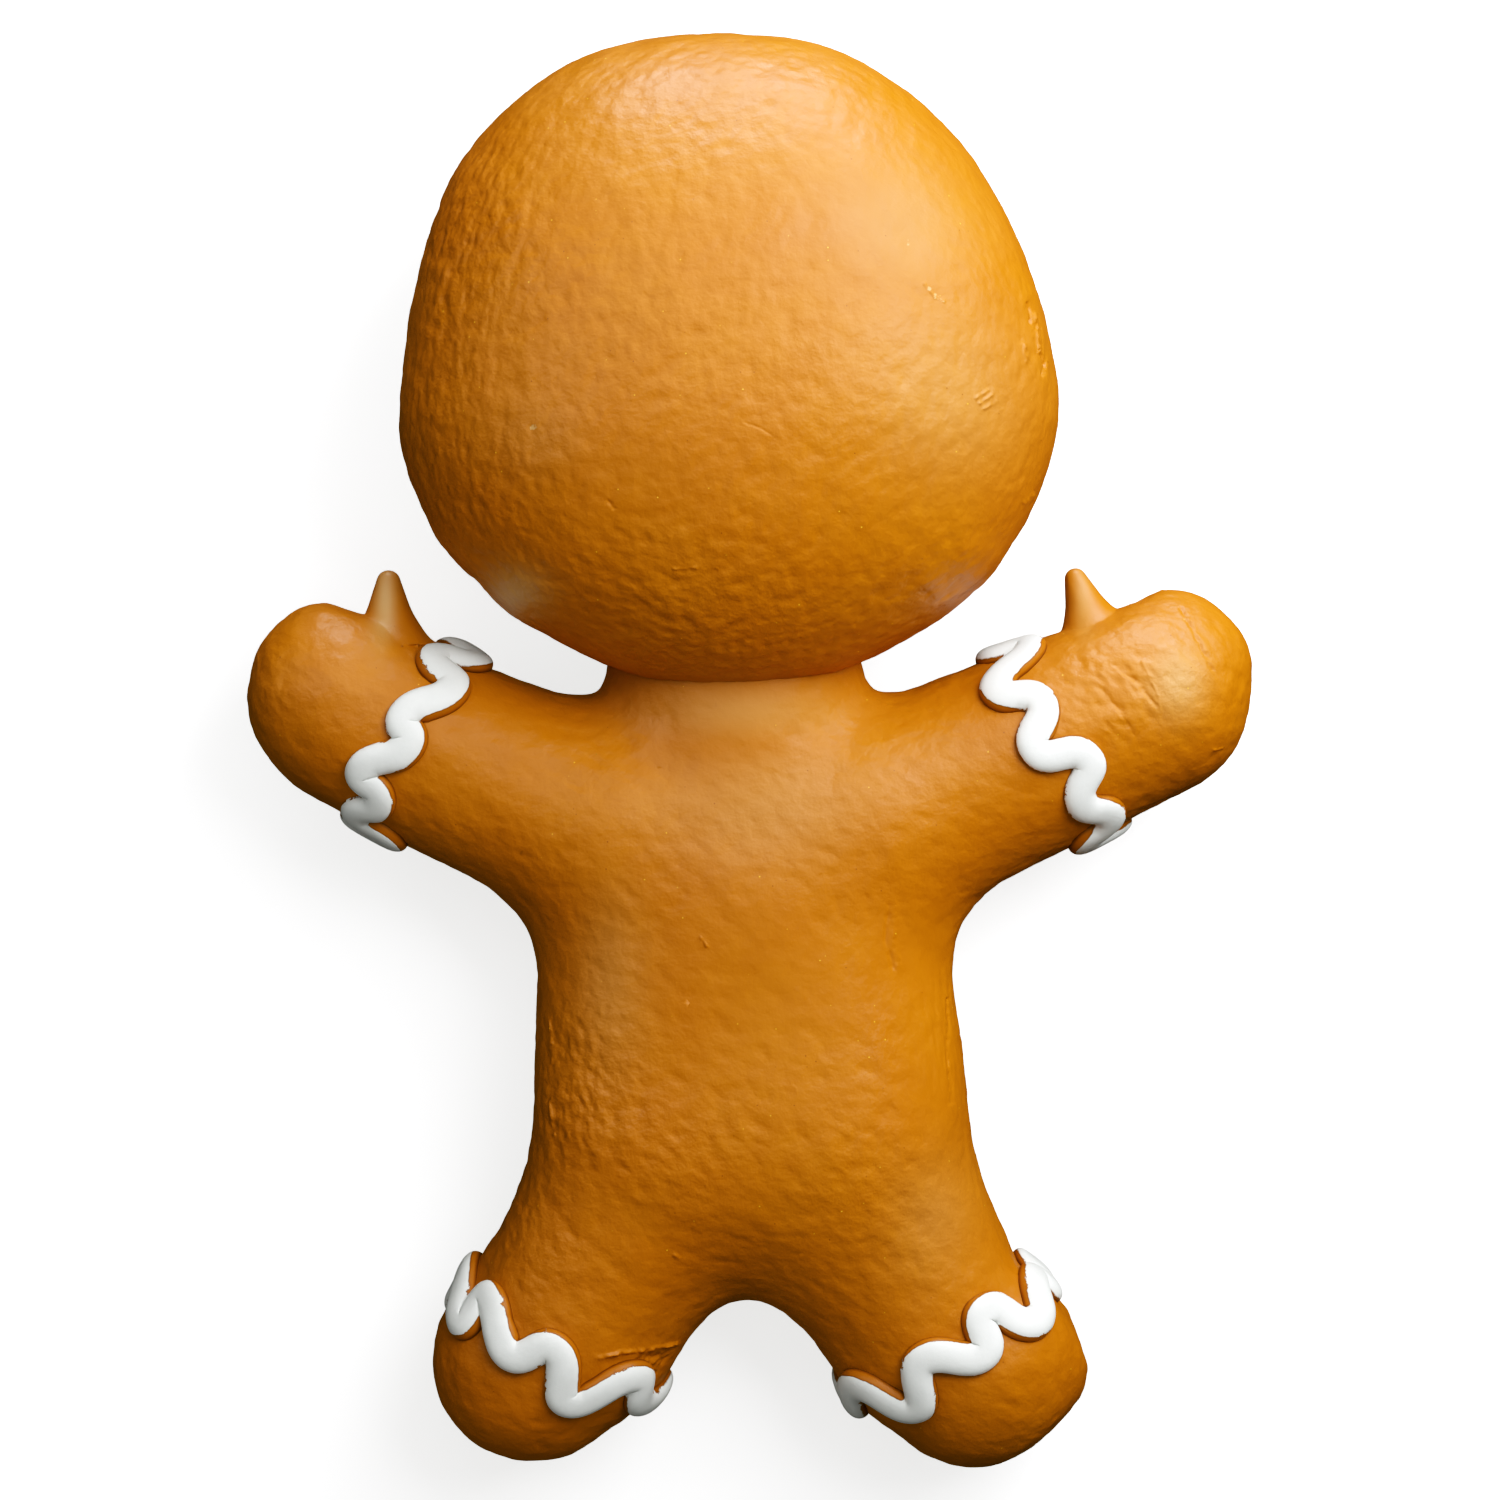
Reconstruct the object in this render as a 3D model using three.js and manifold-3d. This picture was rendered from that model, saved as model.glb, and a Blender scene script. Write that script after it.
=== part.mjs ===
// Gingerbread man display figure, moulded and painted, lying on its front with its back up.
// One brown figure (head, trunk, arms, legs and thumbs) carries four raised rings of wavy
// white piping, one round each wrist and each ankle.
// Millimetres. +Z is up and out of the figure's back, +Y runs to the top of its head, and
// the origin is the middle of the figure's box, on the surface it lies on.

import * as THREE from "three";
import { mergeVertices } from "three/addons/utils/BufferGeometryUtils.js";
import Module from "manifold-3d";

const wasm = await Module();
wasm.setup();

const { abs, atan2, ceil, cos, hypot, max, min, PI, sin, sqrt } = Math;

// Driving dimensions -------------------------------------------------------------------------

// Head: a puffed oval, taller above its widest line than below it. The exponents say how
// square its outline is, and 2 is an ellipse.
const HEAD_CENTRE = [-14, 203, 128.5];
const HEAD_HALF_WIDTH = 203;
const HEAD_HEIGHT_ABOVE = 237;
const HEAD_HEIGHT_BELOW = 166;
const HEAD_HALF_DEPTH = 130;
const HEAD_SQUARENESS_ABOVE = 2.12;
const HEAD_SQUARENESS_BELOW = 1.84;
const HEAD_LEAN = -0.012;

// Trunk: an upright cushion between the shoulders and the hips.
const TORSO_CENTRE = [-5, -99, 86];
const TORSO_HALF_WIDTH = 128;
const TORSO_HALF_HEIGHT = 123;
const TORSO_HALF_DEPTH = 80;
const TORSO_SQUARENESS = 3.2;

// Neck: a short oval post from the chest into the underside of the head.
const NECK_CENTRE = [-9, 86];
const NECK_HALF_WIDTH = 80;
const NECK_HALF_DEPTH = 70;
const NECK_FROM = -40;
const NECK_TO = 70;

// Arms and legs: balls [x, y, z, radius] joined by tapering stretches, a little flatter
// from back to front than they are wide.
const LIMB_DEPTH = 0.95;
const LEFT_ARM = [[-97, -44, 84, 68.5], [-244, 20, 80, 59.5], [-258.5, 33, 78, 59.5]];
const RIGHT_ARM = [[85.5, -42.5, 84, 69], [252.5, 32, 80, 62], [265, 47.5, 78, 52]];
const LEFT_LEG = [[-67, -265, 85, 64.5], [-113.5, -363, 72, 68.5], [-137, -385, 70, 64.5]];
const RIGHT_LEG = [[62, -258, 85, 70.5], [116.5, -367, 74, 67.5], [141, -382, 72, 71]];

// How softly the limbs and the neck run into the trunk.
const ARMPIT_BLEND = 41;
const HIP_BLEND = 106;
const NECK_BLEND = 16;
const THUMB_BLEND = 12;

// Thumbs: smooth cones with a small round tip, standing on the hands [x, y, z, radius].
const LEFT_THUMB = [[-226.5, 105, 80, 7.5], [-220, 56, 80, 29]];
const RIGHT_THUMB = [[205.7, 105.5, 80, 7.5], [216, 56, 80, 29]];

// Piping: a raised bead squeezed out by hand in waves round the limb, so that its turns nearly
// touch. LOOP_REACH says how full each turn is.
const PIPING_HALF_WIDTH = 11.5;
const PIPING_HEIGHT = 8;
const PIPING_BED = 1.3;
const GAP = 0.3;
const LOOP_REACH = 30;
const LAP_RADIUS = 64;
const PINCH = 0.9;

// Where each ring of piping turns back: degrees round the limb from its back, and millimetres
// along it. The turns are the ones of the back half, on the trunk's side and the other side by
// turns, and HIDDEN_CRESTS more go round the front, evenly spaced and SWAY to either side.
const HIDDEN_CRESTS = 7;
const SWAY = 13;
const PIPING = {
  icing_wrist_left: {
    centre: [-210, 3, 81],
    direction: [-163, 77],
    crests: [[-98, -14], [-58, 13], [-42, -14], [-15, 11], [0, -4], [27, 20], [41, 3], [66, 14], [80, -16]],
  },
  icing_wrist_right: {
    centre: [194, 6, 81],
    direction: [180, 88],
    crests: [[-92, -15], [-57, 9], [-36, -8], [-15, 8], [4, -24], [24, -1], [44, -26], [72, 11], [89, -19]],
  },
  icing_ankle_left: {
    centre: [-130, -374, 74],
    direction: [-69, -119],
    crests: [[-89, -20], [-58, 11], [-43, -15], [-18, 12], [5, -11], [21, 18], [56, -16], [70, -4], [84, -26]],
  },
  icing_ankle_right: {
    centre: [120, -366, 74],
    direction: [78, -122],
    crests: [[-62, -4], [-35, 24], [-12, -2], [14, 21], [32, -2], [49, 23], [70, 4], [84, 22], [100, -5]],
  },
};

// How finely each surface is faceted.
const TRUNK_SPACE = new THREE.Box3(
  new THREE.Vector3(-340, -480, -35),
  new THREE.Vector3(340, 100, 200),
);
const TRUNK_CELL = 21;
const CELL_MARGIN = 0.15;
const STEPS_PER_STROKE = 5;
const SECTION_TURNS = [0, 0.25, 0.5, 0.75, 1, 1.5].map((share) => share * PI);
const HEAD_SLICES = 38;
const HEAD_RINGS = 24;
const THUMB_SLICES = 14;
const THUMB_TIP_STEPS = 4;

// Small lengths of the working: the steps that slopes are measured over, the rounds and the
// least slope with which a point is moved onto a surface, and how close two points are one.
const LEVEL_STEP = 0.5;
const SLOPE_STEP = 0.2;
const LEAST_SLOPE = 0.2;
const SETTLE_ROUNDS = 6;
const WELD = 1e-3;
const FLOOR_BLOCK = { side: 2000, height: 100 };

const CRUST = new THREE.MeshStandardMaterial({ color: 0xc17a2c, roughness: 0.5, metalness: 0 });
const ICING = new THREE.MeshStandardMaterial({ color: 0xeceff0, roughness: 0.42, metalness: 0 });

// Distances ----------------------------------------------------------------------------------
// Each takes a point and gives about how far outside the shape it is, negative inside.

const clamp = THREE.MathUtils.clamp;

// The two distances joined with a fillet about as wide as blend.
function softMin(first, second, blend) {
  const share = clamp(0.5 + (second - first) / (2 * blend), 0, 1);
  return second + (first - second) * share - blend * share * (1 - share);
}

// How far out a point is in a rounded box of half sizes 1, where the surface is at 1.
function squareness(across, along, exponent) {
  return (abs(across) ** exponent + abs(along) ** exponent) ** (1 / exponent);
}

// A level function, 1 on the surface, turned into a distance by its own steepness.
function levelToDistance(level, x, y, z) {
  const here = level(x, y, z);
  const rise = hypot(
    level(x + LEVEL_STEP, y, z) - here,
    level(x, y + LEVEL_STEP, z) - here,
    level(x, y, z + LEVEL_STEP) - here,
  );
  return (here - 1) * LEVEL_STEP / max(rise, Number.EPSILON);
}

function torsoLevel(x, y, z) {
  return hypot(
    squareness(
      (x - TORSO_CENTRE[0]) / TORSO_HALF_WIDTH,
      (y - TORSO_CENTRE[1]) / TORSO_HALF_HEIGHT,
      TORSO_SQUARENESS,
    ),
    (z - TORSO_CENTRE[2]) / TORSO_HALF_DEPTH,
  );
}

function neckLevel(x, y, z) {
  return hypot((x - NECK_CENTRE[0]) / NECK_HALF_WIDTH, (z - NECK_CENTRE[1]) / NECK_HALF_DEPTH);
}

function neckDistance(x, y, z) {
  return max(levelToDistance(neckLevel, x, y, z), y - NECK_TO, NECK_FROM - y);
}

// A tapering stretch between two balls [x, y, z, radius], flattened in depth.
function stretchDistance(from, to, depth, x, y, z) {
  const run = [to[0] - from[0], to[1] - from[1], (to[2] - from[2]) / depth];
  const arm = [x - from[0], y - from[1], (z - from[2]) / depth];
  const length = hypot(...run);
  const along = (arm[0] * run[0] + arm[1] * run[1] + arm[2] * run[2]) / length;
  const aside = sqrt(max(hypot(...arm) ** 2 - along ** 2, 0));
  const taper = (from[3] - to[3]) / length;
  const share = clamp((along + taper * aside / sqrt(1 - taper * taper)) / length, 0, 1);
  return hypot(along - share * length, aside) - (from[3] + (to[3] - from[3]) * share);
}

function limbDistance(balls, x, y, z) {
  return min(
    stretchDistance(balls[0], balls[1], LIMB_DEPTH, x, y, z),
    stretchDistance(balls[1], balls[2], LIMB_DEPTH, x, y, z),
  );
}

function trunkDistance(x, y, z) {
  let distance = levelToDistance(torsoLevel, x, y, z);
  for (const arm of [LEFT_ARM, RIGHT_ARM]) {
    distance = softMin(distance, limbDistance(arm, x, y, z), ARMPIT_BLEND);
  }
  for (const leg of [LEFT_LEG, RIGHT_LEG]) {
    distance = softMin(distance, limbDistance(leg, x, y, z), HIP_BLEND);
  }
  return softMin(distance, neckDistance(x, y, z), NECK_BLEND);
}

// Surfaces -----------------------------------------------------------------------------------

// The direction in which a distance grows fastest, as long as its slope.
function steepest(distance, point) {
  const here = distance(point.x, point.y, point.z);
  return new THREE.Vector3(
    distance(point.x + SLOPE_STEP, point.y, point.z) - here,
    distance(point.x, point.y + SLOPE_STEP, point.z) - here,
    distance(point.x, point.y, point.z + SLOPE_STEP) - here,
  ).divideScalar(SLOPE_STEP);
}

// Moves a point onto the zero level of a distance.
function settle(distance, point) {
  for (let round = 0; round < SETTLE_ROUNDS; round += 1) {
    const slope = steepest(distance, point);
    const off = distance(point.x, point.y, point.z);
    point.addScaledVector(slope, -off / max(slope.lengthSq(), LEAST_SLOPE ** 2));
  }
  return point;
}

// A closed skin on the zero level of a distance: one point in each cell of a grid that the
// surface crosses, and one quad round each edge of the grid that it cuts.
function skin(distance, box, cell) {
  const counts = box.getSize(new THREE.Vector3()).divideScalar(cell).ceil().addScalar(1).toArray();
  const strides = [1, counts[0], counts[0] * counts[1]];
  const levels = new Float64Array(counts[0] * counts[1] * counts[2]);
  const spots = [];
  for (let index = 0; index < levels.length; index += 1) {
    const spot = [index % counts[0], ceil((index + 1) / strides[1]) - 1, ceil((index + 1) / strides[2]) - 1];
    spot[1] %= counts[1];
    spots.push(spot);
    const at = new THREE.Vector3(...spot).multiplyScalar(cell).add(box.min);
    levels[index] = distance(at.x, at.y, at.z);
  }
  const corners = [0, 1, 2, 3, 4, 5, 6, 7].map((corner) => [corner & 1, (corner >> 1) & 1, corner >> 2]);
  const reach = corners.map((corner) => corner[0] + corner[1] * strides[1] + corner[2] * strides[2]);
  const points = [];
  const pointOf = new Map();
  for (let index = 0; index < levels.length; index += 1) {
    if (spots[index].some((step, axis) => step + 1 >= counts[axis])) continue;
    const middle = new THREE.Vector3();
    let crossings = 0;
    for (let first = 0; first < 8; first += 1) {
      for (const bit of [1, 2, 4]) {
        if (first & bit) continue;
        const near = levels[index + reach[first]];
        const far = levels[index + reach[first | bit]];
        if (near < 0 === far < 0) continue;
        const start = new THREE.Vector3(...corners[first]);
        const end = new THREE.Vector3(...corners[first | bit]);
        middle.add(start.lerp(end, near / (near - far)));
        crossings += 1;
      }
    }
    if (!crossings) continue;
    middle.divideScalar(crossings).clampScalar(CELL_MARGIN, 1 - CELL_MARGIN);
    middle.add(new THREE.Vector3(...spots[index]));
    pointOf.set(index, points.length);
    points.push(settle(distance, middle.multiplyScalar(cell).add(box.min)));
  }
  const faces = [];
  for (let index = 0; index < levels.length; index += 1) {
    for (let axis = 0; axis < 3; axis += 1) {
      if (spots[index][axis] + 1 >= counts[axis]) continue;
      const inside = levels[index] < 0;
      if (inside === levels[index + strides[axis]] < 0) continue;
      const side = strides[(axis + 1) % 3];
      const up = strides[(axis + 2) % 3];
      const ring = [index, index - side, index - side - up, index - up].map((place) => pointOf.get(place));
      if (!inside) ring.reverse();
      const [a, b, c, d] = ring;
      const shortFirst = points[a].distanceTo(points[c]) <= points[b].distanceTo(points[d]);
      faces.push(...(shortFirst ? [a, b, c, a, c, d] : [a, b, d, b, c, d]));
    }
  }
  const geometry = new THREE.BufferGeometry().setFromPoints(points);
  return geometry.setIndex(faces);
}

function solidOf(geometry) {
  const plain = geometry.clone();
  plain.deleteAttribute("normal");
  plain.deleteAttribute("uv");
  const merged = mergeVertices(plain, WELD);
  return new wasm.Manifold(new wasm.Mesh({
    numProp: 3,
    vertProperties: merged.attributes.position.array,
    triVerts: new Uint32Array(merged.index.array),
  }));
}

function geometryOf(solid) {
  const mesh = solid.getMesh();
  const geometry = new THREE.BufferGeometry();
  geometry.setAttribute("position", new THREE.BufferAttribute(new Float32Array(mesh.vertProperties), 3));
  geometry.setIndex(new THREE.BufferAttribute(new Uint32Array(mesh.triVerts), 1));
  return geometry;
}

// Pieces -------------------------------------------------------------------------------------

function headGeometry() {
  const geometry = new THREE.SphereGeometry(1, HEAD_SLICES, HEAD_RINGS);
  const place = geometry.attributes.position;
  for (let index = 0; index < place.count; index += 1) {
    const way = new THREE.Vector3().fromBufferAttribute(place, index);
    const height = way.y > 0 ? HEAD_HEIGHT_ABOVE : HEAD_HEIGHT_BELOW;
    const exponent = way.y > 0 ? HEAD_SQUARENESS_ABOVE : HEAD_SQUARENESS_BELOW;
    way.divideScalar(hypot(squareness(way.x, way.y, exponent), way.z));
    const up = way.y * height;
    place.setXYZ(
      index,
      HEAD_CENTRE[0] + way.x * HEAD_HALF_WIDTH + HEAD_LEAN * up,
      HEAD_CENTRE[1] + up,
      HEAD_CENTRE[2] + way.z * HEAD_HALF_DEPTH,
    );
  }
  return geometry;
}

// A cone with a round tip, from a base buried in the hand.
function thumbGeometry([tip, base]) {
  const run = new THREE.Vector3(tip[0] - base[0], tip[1] - base[1], tip[2] - base[2]);
  const slant = Math.asin((base[3] - tip[3]) / run.length());
  const profile = [new THREE.Vector2(0, 0), new THREE.Vector2(base[3], 0)];
  for (let step = 0; step <= THUMB_TIP_STEPS; step += 1) {
    const angle = slant + (PI / 2 - slant) * step / THUMB_TIP_STEPS;
    const radius = step < THUMB_TIP_STEPS ? tip[3] * cos(angle) : 0;
    profile.push(new THREE.Vector2(radius, run.length() + tip[3] * sin(angle)));
  }
  const geometry = new THREE.LatheGeometry(profile, THUMB_SLICES);
  geometry.rotateZ(atan2(-run.x, run.y));
  return geometry.translate(base[0], base[1], base[2]);
}

// All that is lower than the floor, which cuts a small flat on each piece that lies on it.
const belowFloor = solidOf(
  new THREE.BoxGeometry(FLOOR_BLOCK.side, FLOOR_BLOCK.side, FLOOR_BLOCK.height)
    .translate(0, 0, -FLOOR_BLOCK.height / 2),
);

function figureGeometry() {
  const solid = solidOf(skin(trunkDistance, TRUNK_SPACE, TRUNK_CELL))
    .add(solidOf(headGeometry()))
    .add(solidOf(thumbGeometry(LEFT_THUMB)))
    .add(solidOf(thumbGeometry(RIGHT_THUMB)))
    .subtract(belowFloor);
  return geometryOf(solid);
}

// The figure with every facet moved out by GAP, to cut the piping clear of it.
function swollen(geometry) {
  const grown = geometry.clone();
  grown.computeVertexNormals();
  const place = grown.attributes.position;
  for (let index = 0; index < place.count; index += 1) {
    const out = new THREE.Vector3().fromBufferAttribute(grown.attributes.normal, index);
    const at = new THREE.Vector3().fromBufferAttribute(place, index).addScaledVector(out, GAP);
    place.setXYZ(index, ...at);
  }
  return solidOf(grown);
}

const crust = figureGeometry();
const clearance = swollen(crust);

// All the turns of a ring of piping, the hidden ones too, in a plane unrolled from the limb:
// x is the way round it and y the way along it, in millimetres.
function crestsOf({ crests }) {
  const [first, last] = [crests[0], crests.at(-1)];
  const hidden = Array.from({ length: HIDDEN_CRESTS }, (_, index) => {
    const share = (index + 1) / (HIDDEN_CRESTS + 1);
    const middle = last[1] + (first[1] - last[1]) * share + SWAY;
    return [last[0] + (first[0] + 360 - last[0]) * share, middle + (index % 2 ? -SWAY : SWAY)];
  });
  return [...crests, ...hidden].map(([turn, sway]) => new THREE.Vector2(turn * PI / 180 * LAP_RADIUS, sway));
}

// The points of the wavy line round a limb, on the piping's bed. It passes each turn in the
// direction from the turn before it to the turn after it.
function wavyLine(band) {
  const along = new THREE.Vector3(band.direction[0], band.direction[1], 0).normalize();
  const aside = new THREE.Vector3(-along.y, along.x, 0);
  const lap = new THREE.Vector2(2 * PI * LAP_RADIUS, 0);
  const crests = crestsOf(band);
  const crest = (index) => {
    const laps = Math.floor(index / crests.length);
    return crests[index - laps * crests.length].clone().addScaledVector(lap, laps);
  };
  const pull = (index) => crest(index + 1).sub(crest(index - 1)).setLength(LOOP_REACH);
  const line = [];
  crests.forEach((start, index) => {
    for (let step = 0; step < STEPS_PER_STROKE; step += 1) {
      const share = step / STEPS_PER_STROKE;
      const rest = 1 - share;
      const spot = start.clone().multiplyScalar(rest * rest * (1 + 2 * share))
        .addScaledVector(crest(index + 1), share * share * (1 + 2 * rest))
        .addScaledVector(pull(index), rest * rest * share)
        .addScaledVector(pull(index + 1), -rest * share * share);
      const turn = spot.x / LAP_RADIUS;
      const out = aside.clone().multiplyScalar(sin(turn)).setZ(cos(turn));
      const above = new THREE.Vector3(...band.centre).addScaledVector(along, spot.y);
      line.push(settle(pipingBed, above.addScaledVector(out, LAP_RADIUS)));
    }
  });
  return line;
}

// The surface that the piping is laid on, PIPING_BED over the limb and the thumb, so that the
// flat facets of the two stay clear of each other nearly everywhere.
function pipingBed(x, y, z) {
  const thumbs = [LEFT_THUMB, RIGHT_THUMB].map(([tip, base]) => stretchDistance(tip, base, 1, x, y, z));
  return softMin(trunkDistance(x, y, z), min(...thumbs), THUMB_BLEND) - PIPING_BED;
}

// How far a line leaves room to one side of a point on it: the radius of the largest circle
// that touches the line there and holds no other point of it.
function roomBeside(line, point, side) {
  let room = Infinity;
  for (const other of line) {
    const apart = other.clone().sub(point);
    const aside = apart.dot(side);
    if (aside > 0) room = min(room, apart.lengthSq() / (2 * aside));
  }
  return room;
}

// A raised bead along the wavy line. Its section is half an oval on a base that follows the
// limb, and it is pinched where two strokes come so close that they would run into each other.
function pipingGeometry(band) {
  const line = wavyLine(band);
  const count = line.length;
  const points = [];
  line.forEach((point, index) => {
    const before = line[(index + count - 1) % count];
    const after = line[(index + 1) % count];
    const up = steepest(pipingBed, point).normalize();
    const side = up.clone().cross(after.clone().sub(before)).normalize();
    const left = min(PIPING_HALF_WIDTH, PINCH * roomBeside(line, point, side));
    const right = min(PIPING_HALF_WIDTH, PINCH * roomBeside(line, point, side.clone().negate()));
    SECTION_TURNS.forEach((turn) => {
      const reach = (cos(turn) > 0 ? left : right) * cos(turn);
      const foot = settle(pipingBed, point.clone().addScaledVector(side, reach));
      const height = turn < PI ? PIPING_HEIGHT * sin(turn) : 0;
      points.push(foot.addScaledVector(steepest(pipingBed, foot).normalize(), height));
    });
  });
  const sides = SECTION_TURNS.length;
  const faces = [];
  for (let index = 0; index < count; index += 1) {
    for (let corner = 0; corner < sides; corner += 1) {
      const a = index * sides + corner;
      const b = index * sides + (corner + 1) % sides;
      const c = ((index + 1) % count) * sides + (corner + 1) % sides;
      const d = ((index + 1) % count) * sides + corner;
      faces.push(a, b, c, a, c, d);
    }
  }
  const bead = new THREE.BufferGeometry().setFromPoints(points).setIndex(faces);
  return geometryOf(solidOf(bead).subtract(clearance).subtract(belowFloor));
}

// The figure ---------------------------------------------------------------------------------

function named(name, geometry, material) {
  const mesh = new THREE.Mesh(geometry, material);
  mesh.name = name;
  return mesh;
}

const figure = new THREE.Group();
figure.add(named("gingerbread_figure", crust, CRUST));

const piping = new THREE.Group();
for (const [name, band] of Object.entries(PIPING)) {
  piping.add(named(name, pipingGeometry(band), ICING));
}
figure.add(piping);

const group = new THREE.Group();
group.add(figure);
const middle = new THREE.Box3().setFromObject(figure).getCenter(new THREE.Vector3());
figure.position.set(-middle.x, -middle.y, 0);

export default group;
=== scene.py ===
# A gingerbread man display figure, moulded in resin and painted by hand, lying on its front
# with its back up. Metres. +Z is up and out of its back, +Y runs to the top of its head.

import math

import bmesh
import bpy
from mathutils import Matrix, Vector, noise
from mathutils.bvhtree import BVHTree
from mathutils.kdtree import KDTree


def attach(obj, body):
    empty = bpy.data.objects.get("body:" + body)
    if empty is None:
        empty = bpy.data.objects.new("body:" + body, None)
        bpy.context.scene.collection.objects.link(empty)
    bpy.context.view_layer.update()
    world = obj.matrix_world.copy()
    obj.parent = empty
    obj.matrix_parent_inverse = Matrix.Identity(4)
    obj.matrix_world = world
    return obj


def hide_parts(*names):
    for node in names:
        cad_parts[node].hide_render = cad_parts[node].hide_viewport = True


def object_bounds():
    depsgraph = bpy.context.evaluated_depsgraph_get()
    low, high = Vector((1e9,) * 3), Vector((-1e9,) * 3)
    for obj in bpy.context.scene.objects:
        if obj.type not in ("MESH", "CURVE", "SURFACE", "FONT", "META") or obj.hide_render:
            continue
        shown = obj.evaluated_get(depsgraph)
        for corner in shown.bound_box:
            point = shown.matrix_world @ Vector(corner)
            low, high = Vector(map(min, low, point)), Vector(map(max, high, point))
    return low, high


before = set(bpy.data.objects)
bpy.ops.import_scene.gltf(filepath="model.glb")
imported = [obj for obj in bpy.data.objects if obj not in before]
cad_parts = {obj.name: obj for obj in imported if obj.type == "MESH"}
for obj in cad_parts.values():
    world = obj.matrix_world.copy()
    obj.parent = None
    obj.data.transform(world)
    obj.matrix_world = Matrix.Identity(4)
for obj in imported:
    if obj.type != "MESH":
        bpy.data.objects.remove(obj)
cad_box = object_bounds()

# ---------------------------------------------------------------------------------------------
# Head. A puffed oval of hollow resin, a little squarer at the crown than at the chin, which sits
# on the neck like a ball on a post. Its skin has the soft lumps of the clay that it was cast from.

HEAD_CENTRE = Vector((-0.0132, 0.2089, 0.1285))
HEAD_HALF_WIDTH = 0.203
HEAD_HEIGHT_ABOVE = 0.237
HEAD_HEIGHT_BELOW = 0.166
HEAD_HALF_DEPTH = 0.130
HEAD_SQUARENESS_ABOVE = 2.12
HEAD_SQUARENESS_BELOW = 1.84
HEAD_LEAN = -0.012

# The head starts as a ball divided HEAD_ROUNDS times, and once more above SHOWN_FROM of its depth.
HEAD_ROUNDS = 7
SHOWN_FROM = 0.25

# Where the clay bulges or was pressed in round the rim: degrees round it, reach in degrees, height.
HEAD_SWELLS = (
    (121, 20, 0.0052),
    (141, 10, 0.0030),
    (73, 12, 0.0022),
    (26, 9, -0.0018),
    (5, 7, 0.0014),
    (183, 14, -0.0010),
    (205, 5, 0.0022),
    (212, 5, 0.0018),
    (227, 6, 0.0024),
    (314, 6, 0.0018),
    (324, 6, 0.0024),
    (36, 6, -0.0018),
    (160, 7, -0.0014),
    (170, 8, -0.0020),
    (350, 8, -0.0014),
)


def head_shape(up):
    """The exponent of the head's outline above or below its middle, and the height of that side."""
    if up > 0:
        return HEAD_SQUARENESS_ABOVE, HEAD_HEIGHT_ABOVE
    return HEAD_SQUARENESS_BELOW, HEAD_HEIGHT_BELOW


def head_level(spot):
    """1 on the head's plain surface, less inside it."""
    x, y, z = spot - HEAD_CENTRE
    exponent, height = head_shape(y)
    across = abs((x - HEAD_LEAN * y) / HEAD_HALF_WIDTH)
    flat = (across ** exponent + abs(y / height) ** exponent) ** (1 / exponent)
    return math.hypot(flat, z / HEAD_HALF_DEPTH)


def rim_swell(way):
    """How far the head's skin is moved outwards in a direction from its middle."""
    angle = math.degrees(math.atan2(way.y, way.x))
    out = 0.0
    for middle, reach, height in HEAD_SWELLS:
        apart = ((angle - middle + 180) % 360 - 180) / reach
        out += height * math.exp(-apart * apart)
    return out * (way.x * way.x + way.y * way.y)


# The lumps of the skin: how long they are and how high. LUMP_STRETCH draws them out one way, and
# LUMP_SHIFTS sets each size apart from the one before. Under PIT the small ones drop into dents.
# The whole skin sits back a little, so that the highest lumps keep CLEAR_OF_BOX of its size.
SMALL_LUMPS = ((0.0048, 0.00026), (0.0088, 0.00038))
LARGE_LUMPS = ((0.024, 0.0006), (0.065, 0.0012))
LUMP_STRETCH = Vector((1.0, 0.70, 1.0))
LUMP_SHIFTS = (7.3, 3.1, 5.7)
PIT = -0.12
PIT_DEPTH = 1.2
SKIN_BACK = 0.0004
CLEAR_OF_BOX = 0.0001

# How far the grain of the lumps is turned from the figure's length, in degrees.
HEAD_GRAIN = 24

# Where the skin is rougher or smoother than elsewhere: the middle of each patch, its reach, and
# what it adds to the height of the small lumps.
HEAD_PATCHES = (
    ((-0.18, 0.30, 0.16), 0.13, 0.8),
    ((-0.17, 0.15, 0.17), 0.12, 0.7),
    ((-0.02, 0.09, 0.19), 0.11, 0.8),
    ((0.13, 0.13, 0.19), 0.09, 0.3),
    ((0.07, 0.33, 0.23), 0.13, -0.4),
)


def patch_gain(spot, patches):
    """How high the small lumps stand at a spot, where 1 is plain skin."""
    gain = 1.0
    for middle, reach, more in patches:
        share = max(0.0, 1 - (spot - Vector(middle)).length / reach)
        gain += more * share * share * (3 - 2 * share)
    return gain


def skin_lumps(spot, gain):
    """The height of the skin's lumps at a spot that is turned to lie along them."""
    height = 0.0
    for order, (length, rise) in enumerate(SMALL_LUMPS + LARGE_LUMPS):
        shift = Vector([order * part for part in LUMP_SHIFTS])
        lump = noise.noise(spot * LUMP_STRETCH / length + shift)
        if order < len(SMALL_LUMPS):
            lump = (lump + PIT_DEPTH * min(0.0, lump - PIT)) * gain
        height += rise * lump
    return height


def skin_wrinkles(spot, wrinkles):
    """The height of the wrinkles at a spot. They fade out over the outer half of their reach."""
    height = 0.0
    for middle, reach, angle, (width, length), rise in wrinkles:
        share = 1 - (spot - Vector(middle)).length / reach
        if share > 0:
            turned = Matrix.Rotation(math.radians(angle), 3, "Z") @ spot
            crease = noise.noise(Vector((turned.x / width, turned.y / length, turned.z / width)))
            height += rise * (crease + PIT_DEPTH * min(0.0, crease)) * min(1.0, 2 * share)
    return height


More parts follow.
